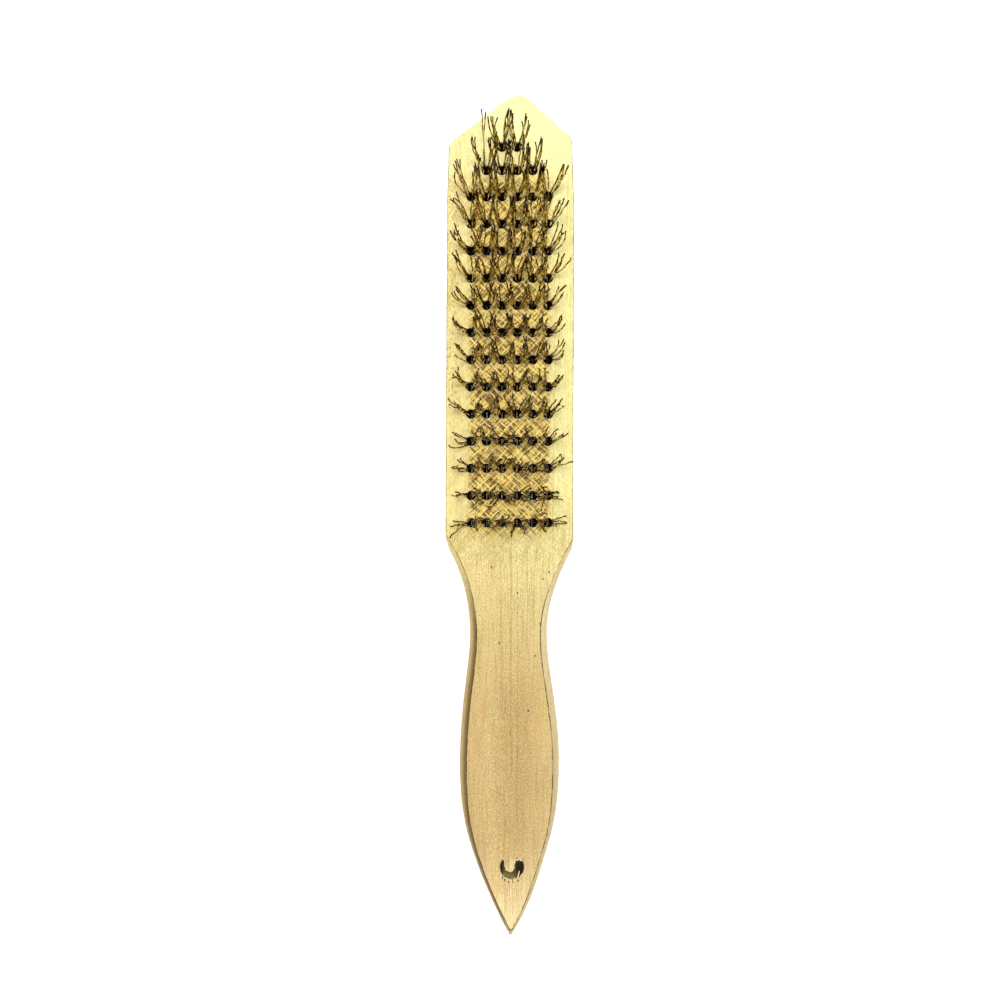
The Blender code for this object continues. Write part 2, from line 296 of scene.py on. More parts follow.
class Nodes:
    """Short calls for building one material's node tree."""

    def __init__(self, name):
        self.material = bpy.data.materials.new(name)
        self.material.use_nodes = True
        self.tree = self.material.node_tree
        self.shader = self.tree.nodes["Principled BSDF"]
        self.place = self.add("ShaderNodeTexCoord").outputs["Object"]

    def add(self, kind, **settings):
        node = self.tree.nodes.new(kind)
        for key, value in settings.items():
            setattr(node, key, value)
        return node

    def link(self, source, target):
        """Feeds a socket from another socket, or sets it to a plain value."""
        if isinstance(source, bpy.types.NodeSocket):
            self.tree.links.new(source, target)
        else:
            target.default_value = source

    def mapped(self, per_mm, turn=0.0, shift=(0.0, 0.0, 0.0)):
        """Object coordinates in cells, so many a millimetre along x, y and z, turned about z and shifted."""
        node = self.add("ShaderNodeMapping", vector_type="POINT")
        self.link(self.place, node.inputs["Vector"])
        node.inputs["Rotation"].default_value = (0.0, 0.0, turn)
        node.inputs["Scale"].default_value = [cells / MM for cells in per_mm]
        node.inputs["Location"].default_value = shift
        return node.outputs["Vector"]

    def noise_at(self, where, detail=3.0, roughness=0.55):
        node = self.add("ShaderNodeTexNoise")
        self.link(where, node.inputs["Vector"])
        node.inputs["Scale"].default_value = 1.0
        node.inputs["Detail"].default_value = detail
        node.inputs["Roughness"].default_value = roughness
        return node.outputs["Fac"]

    def noise(self, per_mm, detail=3.0, roughness=0.55, shift=(0.0, 0.0, 0.0)):
        return self.noise_at(self.mapped(per_mm, shift=shift), detail, roughness)

    def cells(self, per_mm):
        node = self.add("ShaderNodeTexVoronoi", feature="F1")
        self.link(self.mapped(per_mm), node.inputs["Vector"])
        node.inputs["Scale"].default_value = 1.0
        return node.outputs["Distance"]

    def math(self, operation, first, second=0.0, third=0.0):
        node = self.add("ShaderNodeMath", operation=operation)
        for value, socket in zip((first, second, third), node.inputs):
            self.link(value, socket)
        return node.outputs[0]

    def joined(self, operation, values):
        """One operation from each value to the next."""
        return functools.reduce(lambda so_far, value: self.math(operation, so_far, value), values)

    def product(self, *values):
        return self.joined("MULTIPLY", values)

    def total(self, *values):
        return self.joined("ADD", values)

    def most(self, *values):
        return self.joined("MAXIMUM", values)

    def rest_of(self, value):
        return self.math("SUBTRACT", 1.0, value)

    def ramp(self, value, low, high, to_low=0.0, to_high=1.0):
        """A value mapped from low..high to to_low..to_high, with soft ends."""
        node = self.add("ShaderNodeMapRange", interpolation_type="SMOOTHSTEP")
        for item, socket in zip((value, low, high, to_low, to_high), node.inputs):
            self.link(item, socket)
        return node.outputs[0]

    def band(self, value, low, high, soft):
        """1 where a value lies between low and high, falling to 0 over soft."""
        up = self.ramp(value, low - soft, low)
        down = self.ramp(value, high, high + soft, 1.0, 0.0)
        return self.product(up, down)

    def mix(self, share, first, second):
        node = self.add("ShaderNodeMix", data_type="RGBA")
        self.link(share, node.inputs["Factor"])
        for value, socket in zip((first, second), (node.inputs[6], node.inputs[7])):
            self.link(value if isinstance(value, bpy.types.NodeSocket) else (*value, 1.0), socket)
        return node.outputs[2]

    def axes(self):
        """The three object coordinates in millimetres."""
        node = self.add("ShaderNodeSeparateXYZ")
        self.link(self.place, node.inputs[0])
        return [self.product(axis, 1 / MM) for axis in node.outputs]

    def normal_z(self):
        """How far the real surface faces up or down."""
        geometry = self.add("ShaderNodeNewGeometry")
        parts = self.add("ShaderNodeSeparateXYZ")
        self.link(geometry.outputs["True Normal"], parts.inputs[0])
        return self.math("ABSOLUTE", parts.outputs[2])

    def distance(self, across, up, place):
        """How far a point of two coordinates is from a place, whose third number stretches the first one."""
        first = self.math("DIVIDE", self.math("SUBTRACT", across, place[0]), place[2])
        second = self.math("SUBTRACT", up, place[1])
        square = self.total(self.product(first, first), self.product(second, second))
        return self.math("SQRT", square)

    def dots(self, across, up, places, radius):
        """1 within a radius of any of some places."""
        distances = [self.distance(across, up, place) for place in places]
        return self.most(*(self.ramp(distance, radius * 0.5, radius, 1.0, 0.0) for distance in distances))

    def bump(self, height, distance_mm, under=None):
        node = self.add("ShaderNodeBump")
        self.link(height, node.inputs["Height"])
        node.inputs["Distance"].default_value = distance_mm * MM
        if under is not None:
            self.link(under, node.inputs["Normal"])
        return node.outputs["Normal"]


class Wood(Nodes):
    """The block's look: where a point is on the block, and the colour that has been laid down so far."""

    def __init__(self):
        super().__init__("beech_wood")
        self.x, self.y, self.z = self.axes()
        self.facing = self.normal_z()
        self.on_face = self.ramp(self.z, FACE_Z - 0.6, FACE_Z - 0.2)
        self.on_side = self.ramp(self.facing, 0.6, 0.85, 1.0, 0.0)
        self.left = self.ramp(self.y, -4.0, 4.0)
        self.right = self.rest_of(self.left)
        self.away = self.math("ABSOLUTE", self.y)
        rows = self.band(self.x, -6.0, 130.5, 0.1)
        self.among_holes = self.product(rows, self.band(self.away, -1.0, 16.0, 0.1))
        self.from_bore = self.distance(self.x, self.y, (*HANGING_HOLE, 1.0))
        self.bore = self.ramp(self.from_bore, HANGING_HOLE_RADIUS + 0.45, HANGING_HOLE_RADIUS + 0.7, 1.0, 0.0)
        self.colour = WOOD["light"]

    def lay(self, colour, *shares):
        """Mixes a named colour over the wood, by the product of some shares."""
        self.colour = self.mix(self.product(*shares), self.colour, WOOD[colour])


def turned(wood, angle):
    """Millimetres across and along a direction on the tuft face."""
    line = wood.add("ShaderNodeSeparateXYZ")
    wood.link(wood.mapped((1.0, 1.0, 1.0), math.radians(angle)), line.inputs[0])
    return line.outputs[0], line.outputs[1]


def streaks(wood, line, across, along, shift):
    """Noise stretched along a turned direction: cells a millimetre across it and along it."""
    spread = wood.add("ShaderNodeCombineXYZ")
    wood.link(wood.math("MULTIPLY_ADD", line[0], across, shift), spread.inputs[0])
    wood.link(wood.product(line[1], along), spread.inputs[1])
    return wood.noise_at(spread.outputs[0])


def diagonal_lines(wood, pitch, angles, along, wander_mm, narrow):
    """Two sets of straight diagonal marks, broken up along their length: 1 on a mark, 0 between."""
    sets = []
    for number, angle in enumerate(angles, start=1):
        line = turned(wood, angle)
        patchy = streaks(wood, line, 1.1 / pitch, along, number * 17.0)
        bend = wood.product(wood.noise((0.12, 0.12, 0.12), detail=2.0), wander_mm / pitch)
        count = wood.math("MULTIPLY_ADD", line[0], 1 / pitch, bend)
        wave = wood.ramp(wood.math("SINE", wood.product(count, 2 * math.pi)), narrow, 0.95)
        sets.append(wood.product(wave, wood.ramp(patchy, 0.42, 0.62)))
    return wood.most(*sets)


def lay_tones(wood):
    """Bare pale wood, yellower on the head and paler at the tail: partly its tone, partly painted light, as
    the lighter head and nose, the paler tail and the slightly lighter right side of the head stand in for
    stronger light there.
    """
    tone = wood.noise((0.012, 0.07, 0.07), detail=4.0)
    wood.lay("dark", wood.ramp(tone, 0.33, 0.7))
    blotch = wood.noise((0.05, 0.16, 0.16), detail=5.0, roughness=0.6)
    wood.lay("blotch", wood.ramp(blotch, 0.48, 0.74, 0.0, 0.4))
    head_tone = wood.mix(wood.left, WOOD["head_right"], WOOD["head_left"])
    wood.colour = wood.mix(wood.product(wood.ramp(wood.x, -70.0, 14.0), 0.9), wood.colour, head_tone)
    wood.lay("nose", wood.ramp(wood.x, 60.0, 140.0, 0.0, 0.75))
    wood.lay("tail", wood.ramp(wood.x, -108.0, -140.0, 0.0, 0.9))


def lay_patches(wood):
    """Patches that lean to orange and to green, a greyer palm and neck as painted shade where less light
    falls, and the sawn right side.
    """
    orange = wood.noise((0.05, 0.14, 0.14), detail=4.0, shift=(31.0, 7.0, 0.0))
    wood.lay("orange_patch", wood.ramp(orange, 0.54, 0.7, 0.0, 0.32))
    green = wood.noise((0.07, 0.12, 0.12), detail=4.0, shift=(3.0, 57.0, 0.0))
    wood.lay("green_patch", wood.ramp(green, 0.55, 0.7, 0.0, 0.34))
    wood.lay("palm", wood.band(wood.y, -4.0, 3.0, 6.0), wood.band(wood.x, -104.0, -64.0, 14.0), 0.35)
    wood.lay("neck", wood.band(wood.x, -58.0, -27.0, 13.0), 0.22)
    sawn = wood.product(wood.ramp(wood.x, -34.0, -16.0), wood.ramp(wood.x, 122.0, 136.0, 1.0, 0.0))
    cloudy = wood.noise((0.12, 0.3, 0.3), detail=5.0, roughness=0.65)
    wood.lay("sawn_side", wood.right, wood.on_side, sawn, wood.ramp(cloudy, 0.36, 0.62, 0.15, 0.75))


def lay_grain(wood):
    """Grain, specks and rays, which fade on the head and towards the right of the nose."""
    clear = wood.product(wood.ramp(wood.x, 108.0, 126.0), wood.ramp(wood.y, 12.0, 2.0), 0.75)
    grained = wood.product(wood.rest_of(clear), wood.ramp(wood.x, -14.0, 16.0, 1.0, 0.6))
    mottle = wood.noise((0.3, 0.45, 0.45), detail=5.0, roughness=0.65, shift=(9.0, 4.0, 0.0))
    on_head = wood.product(wood.ramp(wood.x, -10.0, 20.0), wood.ramp(wood.y, -8.0, 12.0, 0.14, 0.4))
    wood.lay("mottle", wood.ramp(mottle, 0.5, 0.66), on_head, grained)

    grain = wood.noise((0.05, 1.6, 1.6), detail=4.0, roughness=0.65)
    wood.lay("grain", wood.ramp(grain, 0.5, 0.8, 0.0, 0.4), grained)
    fine = wood.noise((0.12, 4.2, 4.2), detail=2.0, shift=(0.0, 11.0, 0.0))
    wood.lay("fine_grain", wood.ramp(fine, 0.48, 0.66, 0.0, 0.46), grained)
    lines = wood.noise((0.008, 0.9, 0.9), detail=2.0)
    wood.lay("growth_line", wood.ramp(lines, 0.62, 0.68, 0.0, 0.3), grained)

    speckle = wood.noise((1.5, 4.0, 4.0), detail=2.0, roughness=0.6)
    strength = wood.product(wood.ramp(wood.x, -20.0, 30.0, 0.52, 0.34), grained)
    wood.lay("speck", wood.ramp(speckle, 0.52, 0.66), strength)
    wood.lay("pale_speck", wood.ramp(speckle, 0.48, 0.34), strength, 0.7)
    rays = wood.product(wood.ramp(wood.cells((0.5, 2.4, 2.4)), 0.07, 0.16, 1.0, 0.0), grained)
    wood.lay("ray", rays, 0.4)
    return grain, speckle, rays


def lay_side_shading(wood):
    """Painted light on the right side of the handle, and painted shade on its sides beside the front arrises,
    deep on the left and faint on the right.
    """
    painted_light = wood.product(wood.ramp(wood.z, 8.0, 14.0), wood.band(wood.x, -112.0, 4.0, 20.0))
    wood.lay("side_light", wood.right, wood.on_side, painted_light, 0.28)
    near_front = wood.product(wood.on_side, wood.ramp(wood.z, 13.0, 16.8, 0.08, 1.0))
    left_shade = wood.product(wood.left, near_front, wood.ramp(wood.x, -14.0, -40.0, 0.0, 0.9))
    right_shade = wood.product(wood.right, near_front, wood.ramp(wood.x, -50.0, -80.0, 0.0, 0.2))
    wood.lay("side_shade", wood.most(left_shade, right_shade))


def lay_wire_shade(wood):
    """Painted shade and brass-coloured reflection of the wires on the wood between the tufts, woven of two
    diagonals. Returns where it lies.
    """
    area = wood.product(wood.band(wood.away, -1.0, 12.0, 3.2), wood.band(wood.x, -2.0, 113.0, 7.0))
    patchy = wood.ramp(wood.noise((0.22, 0.22, 0.22), detail=4.0), 0.3, 0.6, 0.84, 1.0)
    wire_shade = wood.product(area, wood.on_face, patchy)
    first = streaks(wood, turned(wood, 43.0), 0.75, 0.13, 3.0)
    second = streaks(wood, turned(wood, -47.0), 0.75, 0.13, 41.0)
    woven = wood.ramp(wood.total(first, second), 0.86, 1.1)
    shade_colour = wood.mix(woven, WOOD["wire_shade_dark"], WOOD["wire_shade_light"])
    olive = wood.noise((0.35, 1.2, 1.2), detail=4.0, roughness=0.7)
    shade_colour = wood.mix(wood.ramp(olive, 0.42, 0.64, 0.0, 0.35), shade_colour, WOOD["wire_shade_olive"])
    wood.colour = wood.mix(wood.product(wire_shade, 0.92), wood.colour, shade_colour)
    return wire_shade


def lay_wire_shadow_lines(wood, wire_shade):
    """Painted shadows of the wires: dark strokes and a light lattice of lit gaps between the tufts, and a
    fine hatch of fainter shadows past them.
    """
    wood.lay("stroke", diagonal_lines(wood, 1.15, (46.0, -44.0), 0.25, 1.8, -0.1), wire_shade, 0.92)
    lattice_area = wood.product(wood.ramp(wire_shade, 0.0, 0.5, 0.3, 1.0), wood.on_face)
    lattice_area = wood.product(lattice_area, wood.band(wood.x, 0.0, 121.0, 6.0))
    lattice = wood.product(diagonal_lines(wood, 1.75, (43.0, -47.0), 0.2, 2.4, 0.4), lattice_area)
    wood.lay("lattice", lattice, 0.88)
    hatch_area = wood.product(wood.band(wood.x, -14.0, 112.0, 14.0), wood.ramp(wire_shade, 0.0, 0.6, 1.0, 0.0))
    hatch = wood.product(diagonal_lines(wood, 0.72, (38.0, -52.0), 0.3, 1.6, 0.0), wood.on_face, hatch_area)
    wood.lay("hatch", hatch, wood.ramp(wood.x, 4.0, -4.0, 0.3, 0.55))
    return wood.math("SUBTRACT", lattice, hatch)


def lay_stipple(wood):
    """Brown dots along the left edge of the tuft face, and rough sides with dots and smudges."""
    dotted = wood.ramp(wood.noise((1.0, 1.2, 1.2), detail=4.0, roughness=0.7), 0.5, 0.62)
    edge = wood.product(wood.on_face, wood.band(wood.x, 40.0, 112.0, 12.0), wood.ramp(wood.y, 14.0, 20.0))
    wood.lay("edge_dot", edge, dotted, 0.7)
    stipple = wood.noise((1.3, 1.6, 1.6), detail=4.0, roughness=0.75)
    singed = wood.product(wood.ramp(wood.y, 19.0, 20.5), wood.band(wood.x, 52.0, 112.0, 14.0))
    singed = wood.product(singed, wood.ramp(wood.z, 7.0, 14.0))
    strength = wood.ramp(singed, 0.0, 1.0, 0.42, 0.85)
    wood.lay("stipple", wood.on_side, wood.ramp(stipple, 0.5, 0.64), strength)
    smudge = wood.noise((0.06, 0.1, 0.12), detail=5.0)
    wood.lay("smudge", wood.on_side, wood.ramp(smudge, 0.58, 0.74, 0.0, 0.4))
    return stipple


def scratch_line(wood):
    """1 on the scratch across the right side of the neck."""
    slope = wood.math("MULTIPLY_ADD", wood.x, SCRATCH_SLOPE, wood.z)
    middle = SCRATCH_X * SCRATCH_SLOPE + SCRATCH_Z
    on_line = wood.band(slope, middle - 0.06, middle + 0.06, 0.16)
    in_reach = wood.band(wood.x, SCRATCH_X - SCRATCH_REACH, SCRATCH_X + SCRATCH_REACH, 0.5)
    return wood.product(on_line, in_reach, wood.ramp(wood.y, 0.0, -1.0))


def lay_knots(wood):
    """Pin knots on the handle's front, nicks in the sides and one scratch."""
    knots = wood.product(wood.dots(wood.x, wood.y, PIN_KNOTS, PIN_KNOT_RADIUS), wood.on_face)
    left = wood.product(wood.dots(wood.x, wood.z, LEFT_NICKS, NICK_RADIUS), wood.ramp(wood.y, 0.0, 1.0))
    right = wood.product(wood.dots(wood.x, wood.z, RIGHT_NICKS, NICK_RADIUS), wood.ramp(wood.y, 0.0, -1.0))
    nicks = wood.product(wood.most(left, right), wood.on_side)
    marks = wood.most(knots, nicks, scratch_line(wood))
    wood.lay("knot", marks, 0.85)
    return marks


def lay_edges(wood):
    """Pale wood on the rims of the holes, and a patchy dark line along the front arrises, which is dirt and,
    along the head's right edge, also a painted shadow.
    """
    at_front = wood.ramp(wood.z, FACE_Z - 0.6, FACE_Z - 0.5)
    slanted = wood.product(wood.band(wood.facing, 0.2, 0.96, 0.03), at_front)
    round_holes = wood.most(wood.among_holes, wood.bore)
    wood.lay("drilled_rim", slanted, round_holes, 0.85)
    arris_dark_noise = wood.ramp(wood.noise((0.3, 0.3, 0.3), detail=4.0), 0.36, 0.54, 0.4, 1.0)
    handle = wood.ramp(wood.x, -8.0, -30.0)
    # painted shadow along the head's right edge
    right_edge = wood.ramp(wood.y, -15.0, -20.0)
    left_edge = wood.ramp(wood.y, -4.0, 2.0, 0.0, 0.75)
    nose = wood.ramp(wood.x, 137.0, 140.0, 0.0, 0.7)
    where = wood.most(handle, right_edge, left_edge, nose)
    wood.lay("arris_dirt_and_shade", slanted, wood.rest_of(round_holes), arris_dark_noise, where)


def lay_holes(wood):
    """Painted shade on the walls of the tuft holes, painted shade with a painted lit patch in the bore of the
    hanging hole, and painted shade on the sunk rim round it.
    """
    below = wood.ramp(wood.z, FACE_Z - 1.4, FACE_Z - 0.25, 1.0, 0.0)
    wood.lay("hole_shade", wood.among_holes, below, wood.ramp(wood.z, 4.0, 5.0))

    # painted lit patch on the bore's lower wall, the rest painted shade
    lit_wall = wood.product(wood.band(wood.y, -1.9, 1.7, 1.1), wood.ramp(wood.x, -120.8, -122.2))
    streak = wood.ramp(wood.noise((1.6, 1.6, 0.4), detail=3.0), 0.36, 0.6, 1.0, 0.45)
    bore_light_and_shade = wood.mix(wood.product(lit_wall, streak), WOOD["bore_shade"], WOOD["bore_lit_wall"])
    deep = wood.product(wood.bore, wood.ramp(wood.z, FACE_Z - 1.6, FACE_Z - 0.5, 1.0, 0.0))
    upright = wood.ramp(wood.facing, 0.5, 0.8, 1.0, 0.0)
    wood.colour = wood.mix(wood.product(deep, upright, 0.96), wood.colour, bore_light_and_shade)

    # painted shade on the sunk rim round the hanging hole
    round_bore = wood.product(wood.ramp(wood.from_bore, 6.2, 6.6, 1.0, 0.0), wood.rest_of(wood.bore))
    sunk = wood.ramp(wood.z, FACE_Z - 0.5, FACE_Z - 0.2, 1.0, 0.0)
    wood.lay("sunk_rim_shade", round_bore, sunk, wood.ramp(wood.z, 15.0, 15.5), 0.85)
    fibrous = wood.ramp(wood.noise((0.3, 3.0, 3.0), detail=2.0), 0.5, 0.58)
    wood.lay("fibre", wood.bore, wood.on_face, fibrous, 0.7)


def wood_material():
    """Bare beech, with painted shadows and brass-coloured reflection of the wires between the tufts, and the
    rough-sawn sides.
    """
    wood = Wood()
    lay_tones(wood)
    lay_patches(wood)
    grain, speckle, rays = lay_grain(wood)
    lay_side_shading(wood)
    wire_shade = lay_wire_shade(wood)
    cut = lay_wire_shadow_lines(wood, wire_shade)
    stipple = lay_stipple(wood)
    marks = lay_knots(wood)
    lay_edges(wood)
    lay_holes(wood)

    wood.link(wood.colour, wood.shader.inputs["Base Color"])
    wood.link(wood.ramp(grain, 0.3, 0.8, 0.55, 0.75), wood.shader.inputs["Roughness"])
    wood.shader.inputs["Specular IOR Level"].default_value = 0.1
    pores = wood.total(wood.product(speckle, -0.9), wood.product(rays, -0.6), wood.product(marks, -4.0))
    chatter = wood.noise((0.7, 0.08, 0.08), detail=3.0)
    side_relief = wood.product(wood.total(stipple, chatter), wood.on_side)
    normal = wood.bump(pores, 0.05)
    # relief along the painted shadow lines of the wires
    normal = wood.bump(cut, 0.03, under=normal)
    normal = wood.bump(side_relief, 0.16, under=normal)
    wood.link(normal, wood.shader.inputs["Normal"])
    return wood.material


def wire_material():
    """Brassed steel wire: gold, olive where tarnished, dark at root and tip, with whiter patches that are
    painted glints.
    """
    wire = Nodes("brassed_wire")
    z = wire.axes()[2]
    shade = wire.ramp(wire.noise((1.1, 1.1, 0.32), detail=3.0), 0.42, 0.58)
    patch = wire.noise((0.5, 0.5, 0.25), detail=4.0)
    colour = wire.mix(shade, (0.17, 0.085, 0.022), (0.88, 0.71, 0.29))
    colour = wire.mix(wire.ramp(patch, 0.5, 0.66, 0.0, 0.75), colour, (0.40, 0.37, 0.15))
    colour = wire.mix(wire.ramp(z, FACE_Z - 1.0, FACE_Z + 8.0, 0.88, 0.0), colour, (0.06, 0.026, 0.01))
    colour = wire.mix(wire.ramp(z, FACE_Z + 18.5, FACE_Z + 24.0, 0.0, 0.85), colour, (0.03, 0.022, 0.012))
    # whiter colour and reflection in patches: painted glints
    painted_light = wire.ramp(wire.noise((0.9, 0.9, 0.2), detail=2.0, shift=(5.0, 9.0, 2.0)), 0.55, 0.58)
    painted_light = wire.product(painted_light, wire.ramp(z, FACE_Z + 17.0, FACE_Z + 22.0, 1.0, 0.2))
    wire.link(wire.mix(painted_light, colour, (0.98, 0.92, 0.74)), wire.shader.inputs["Base Color"])
    sheen = wire.mix(shade, (0.08, 0.045, 0.022), (0.7, 0.57, 0.3))
    wire.link(wire.mix(painted_light, sheen, (1.0, 1.0, 0.94)), wire.shader.inputs["Specular Tint"])
    wire.link(wire.ramp(wire.noise((2.0, 2.0, 0.5)), 0.3, 0.75, 0.14, 0.34), wire.shader.inputs["Roughness"])
    wire.shader.inputs["Metallic"].default_value = 1.0
    drawn = wire.noise((14.0, 14.0, 0.3), detail=2.0)
    wire.link(wire.bump(drawn, 0.008), wire.shader.inputs["Normal"])
    return wire.material


def steel_material(name, per_mm, detail, spread, colours, roughness, depth):
    """Dark bare steel, with one noise for its colour, its roughness and its relief."""
    steel = Nodes(name)
    grit = steel.noise(per_mm, detail=detail)
    steel.link(steel.mix(steel.ramp(grit, *spread), *colours), steel.shader.inputs["Base Color"])
    steel.shader.inputs["Metallic"].default_value = 1.0
    steel.link(steel.ramp(grit, 0.3, 0.7, *roughness), steel.shader.inputs["Roughness"])
    steel.link(steel.bump(grit, depth), steel.shader.inputs["Normal"])
    return steel.material


def cut_end_material():
    """The sheared ends of the wires: bare, slightly rusted steel."""
    colours = ((0.05, 0.04, 0.025), (0.03, 0.015, 0.008))
    return steel_material("sheared_wire_end", (2.5, 2.5, 2.5), 4.0, (0.4, 0.65), colours, (0.4, 0.7), 0.02)


def anchor_material():
    """Flat steel wire, rolled along its length, and near black as painted shade deep in its hole."""
    colours = ((0.05, 0.045, 0.04), (0.03, 0.024, 0.02))
    return steel_material("anchor_steel", (0.6, 9.0, 9.0), 3.0, (0.35, 0.7), colours, (0.3, 0.5), 0.01)


def floor_material():
    """A pale floor that glows a little, so that it clips to white as the photograph's background does."""
    look = Nodes("studio_floor")
    look.shader.inputs["Base Color"].default_value = (0.84, 0.84, 0.84, 1.0)
    look.shader.inputs["Emission Color"].default_value = (1.0, 1.0, 1.0, 1.0)
    look.shader.inputs["Emission Strength"].default_value = 0.4
    look.shader.inputs["Roughness"].default_value = 0.9
    look.shader.inputs["Specular IOR Level"].default_value = 0.1
    return look.material


# ---- meshes


def finished(name, mesh, materials):
    """A piece of the brush: named, given its looks and fixed to the CAD body."""
    for look in materials:
        mesh.materials.append(look)
    made = bpy.data.objects.new(name, mesh)
    bpy.context.scene.collection.objects.link(made)
    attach(made, "root")
    return made


def mesh_of(name, points, faces):
    """A mesh from points in millimetres."""
    mesh = bpy.data.meshes.new(name)
    mesh.from_pydata((np.asarray(points) * MM).tolist(), [], faces)
    mesh.validate()
    return mesh


def mesh_from(bm, name):
    """A mesh from a bmesh, which is used up."""
    mesh = bpy.data.meshes.new(name)
    bm.to_mesh(mesh)
    bm.free()
    return mesh


def joined_rings(lower, upper, count):
    """The four-sided faces between two rings of points, given as the numbers of their first points."""
    faces = []
    for i in range(count):
        j = (i + 1) % count
        faces.append((lower + i, lower + j, upper + j, upper + i))
    return faces


def smooth_line(knots, steps=24):
    """A function of x along a curve through knots, which are listed from the nose to the tail."""
    points = []
    for (x0, v0, _, back, slope0), (x1, v1, forward, _, slope1) in zip(knots, knots[1:]):
        points += interpolate_bezier(
            (x0, v0),
            (x0 - back, v0 - slope0 * back),
            (x1 + forward, v1 + slope1 * forward),
            (x1, v1),
            steps,
        )
    line = np.array([tuple(point) for point in points])[::-1]
    return lambda x: float(np.interp(x, line[:, 0], line[:, 1]))


def rounded(corners, reach):
    """A function of x through corners, with each corner eased over reach."""
    xs, ys = np.array(corners).T
    offsets = np.linspace(-reach, reach, 9)
    return lambda x: float(np.mean(np.interp(x + offsets, xs, ys)))


def rough(x, y, z, scale, seed):
    """Smooth noise from -1 to 1, in cells of so many millimetres."""
    return noise.noise(Vector((x / scale[0] + seed, y / scale[1] - seed, z / scale[2] + 2 * seed)))


def relief(kind, along, across, side):
    """The height of one kind of roughness at a place on one side."""
    depth, length, width, seed = kind
    return depth * rough(along, across, 0, (length, width, 1), side * seed)


# ---- block


half_width = smooth_line(HANDLE_KNOTS)
back_height = smooth_line(BACK_KNOTS)
head_left = rounded(HEAD_LEFT, 0.3)
head_right = rounded(HEAD_RIGHT, 0.4)
handle_wander = rounded(HANDLE_WANDER, 5.0)


def side_y(x, z, side):
    """The y of the block's surface at a height on one side, which is 1 for left and -1 for right."""
    low = back_height(x)
    share = 2 * (z - low) / (FACE_Z - low) - 1
    crowned = half_width(x) - CROWN * share * share + side * handle_wander(x)
    sawn = head_left(x) if side > 0 else -head_right(x)
    least = -OFF_CENTRE if x > OFF_CENTRE_FROM else LEAST_HALF_WIDTH
    y = side * max(min(crowned, sawn), least)
    fade = min(1.0, (x - TAIL_X) / 12.0)
    bumps = (relief(SAW_CHATTER, x, z, side) + relief(SIDE_WANDER, x, z, side)) * fade
    splinters = relief(SPLINTERS, x, z, side) if x > SPLINTERS_FROM else 0.0
    return y + side * (bumps + splinters)


def section_span(x):
    """The lowest and highest point of the section at x, which closes in at the very tail."""
    low = back_height(x)
    reach = min(1.0, math.sqrt(max(half_width(x) - LEAST_HALF_WIDTH, 0.02) / CROWN))
    middle = (FACE_Z + low) / 2
    half = (FACE_Z - low) / 2 * reach
    return middle - half, middle + half


def corner_arc(x, z_edge, side, top, radius):
    """A rounded corner of the section, from the front or back face to the side."""
    up = 1 if top else -1
    z = z_edge - up * radius
    y = side_y(x, z, side) - side * radius
    angles = [math.pi / 2 * i / ARRIS_STEPS for i in range(ARRIS_STEPS + 1)]
    return [(y + side * radius * math.sin(a), z + up * radius * math.cos(a)) for a in angles]


def across(x, start, end, steps, facing):
    """Points along the front or the back face, without the last."""
    made = []
    for i in range(steps):
        share = i / steps
        y = start[0] + (end[0] - start[0]) * share
        z = start[1] + (end[1] - start[1]) * share
        ripple = relief(FINE_RIPPLE, x, y, facing) + relief(BROAD_RIPPLE, x, y, facing)
        made.append((y, z + facing * (ripple - FACE_SINK) * math.sin(math.pi * share)))
    return made


def down(x, start, end, side):
    """Points along one side of the section, without the last."""
    heights = [start + (end - start) * i / SIDE_STEPS for i in range(SIDE_STEPS)]
    return [(side_y(x, z, side), z) for z in heights]


def section(x):
    """One closed cross section of the block, from the +Y end of the front face and across it first."""
    low, high = section_span(x)
    shrink = min(1.0, (high - low) / 4.0)
    radii = [ARRIS * (1 + relief(ARRIS_WEAR, x, corner * 9.0, 1)) * shrink for corner in range(4)]
    left_top = corner_arc(x, high, 1, True, radii[0])
    right_top = corner_arc(x, high, -1, True, radii[1])
    right_low = corner_arc(x, low, -1, False, radii[2])
    left_low = corner_arc(x, low, 1, False, radii[3])
    points = across(x, left_top[0], right_top[0], FRONT_STEPS, 1)
    points += right_top[:-1]
    points += down(x, right_top[-1][1], right_low[-1][1], -1)
    points += right_low[:0:-1]
    points += across(x, right_low[0], left_low[0], BACK_STEPS, -1)
    points += left_low[:-1]
    points += down(x, left_low[-1][1], left_top[-1][1], 1)
    points += left_top[:0:-1]
    return [(x, y, z) for y, z in points]


def block_mesh():
    """The wooden block before it is drilled, as a skin over its cross sections."""
    body = np.arange(TAIL_X + SECTIONS_INSET, BODY_SECTIONS_TO, BODY_SPACING)
    nose = np.arange(NOSE_SECTIONS_FROM, NOSE_X - 0.2, NOSE_SPACING)
    stations = [section(float(x)) for x in (*body, *nose, NOSE_X - SECTIONS_INSET)]
    count = len(stations[0])
    last = (len(stations) - 1) * count
    faces = []
    for first in range(0, last, count):
        faces += joined_rings(first, first + count, count)
    faces.append(tuple(range(count))[::-1])
    faces.append(tuple(range(last, last + count)))
    return mesh_of("block", [point for station in stations for point in station], faces)


